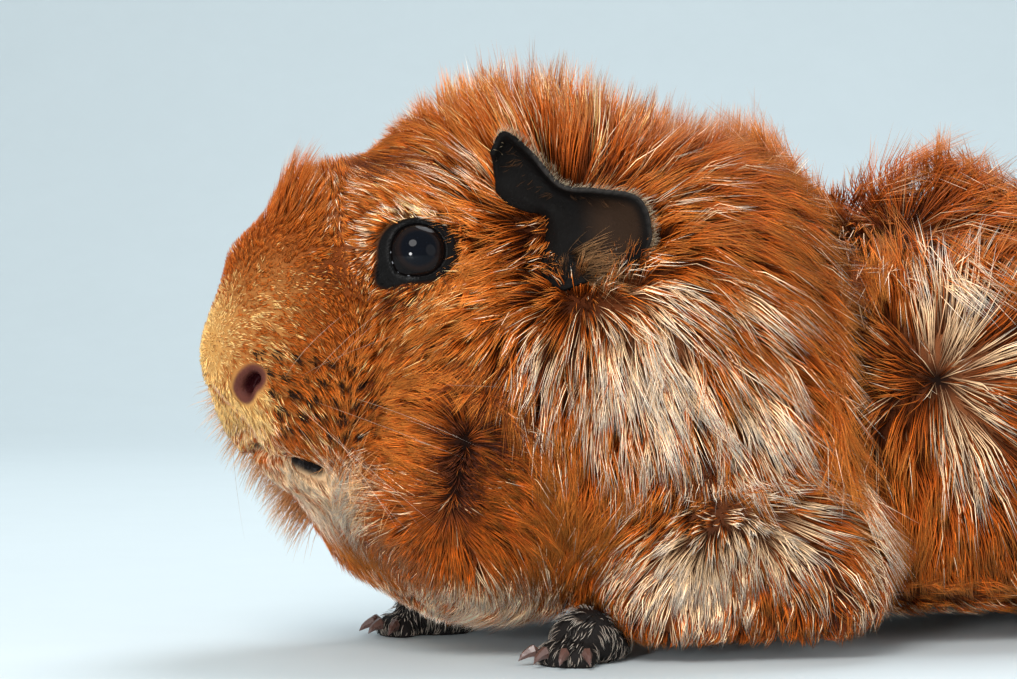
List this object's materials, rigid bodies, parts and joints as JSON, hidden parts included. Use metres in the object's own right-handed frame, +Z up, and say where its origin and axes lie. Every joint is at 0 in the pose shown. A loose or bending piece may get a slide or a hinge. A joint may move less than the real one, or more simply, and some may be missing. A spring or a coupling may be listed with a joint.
{
  "type": "rosette-coated guinea pig figure",
  "caption": "Life-size guinea pig figure crouching on its four feet, with a rough rosetted coat, for display.",
  "frame": {"origin": "on the floor under the middle of the animal's bounding box", "axes": "+Z up, -Y the way the animal faces, +X to the animal's left, +Y towards the rump"},
  "size_m": [0.1038, 0.2434, 0.101],
  "materials": {
    "coat": "rough coat of long hair, ginger with cream ticking",
    "bare_skin": "satin dark skin",
    "eye": "wet gloss",
    "claw": "satin horn"
  },
  "bodies": {
    "root": {"eye_left": "eye", "ear_left": "bare_skin", "eye_right": "eye", "ear_right": "bare_skin", "foreleg_left": "coat", "forefoot_left": "bare_skin", "forefoot_left_claw_1": "claw", "forefoot_left_claw_2": "claw", "forefoot_left_claw_3": "claw", "forefoot_left_claw_4": "claw", "foreleg_right": "coat", "forefoot_right": "bare_skin", "forefoot_right_claw_1": "claw", "forefoot_right_claw_2": "claw", "forefoot_right_claw_3": "claw", "forefoot_right_claw_4": "claw", "hindleg_left": "coat", "hindfoot_left": "bare_skin", "hindfoot_left_claw_1": "claw", "hindfoot_left_claw_2": "claw", "hindfoot_left_claw_3": "claw", "hindleg_right": "coat", "hindfoot_right": "bare_skin", "hindfoot_right_claw_1": "claw", "hindfoot_right_claw_2": "claw", "hindfoot_right_claw_3": "claw", "head": "coat", "neck": "coat", "trunk": "coat", "rump": "coat"}
  },
  "joints": []
}
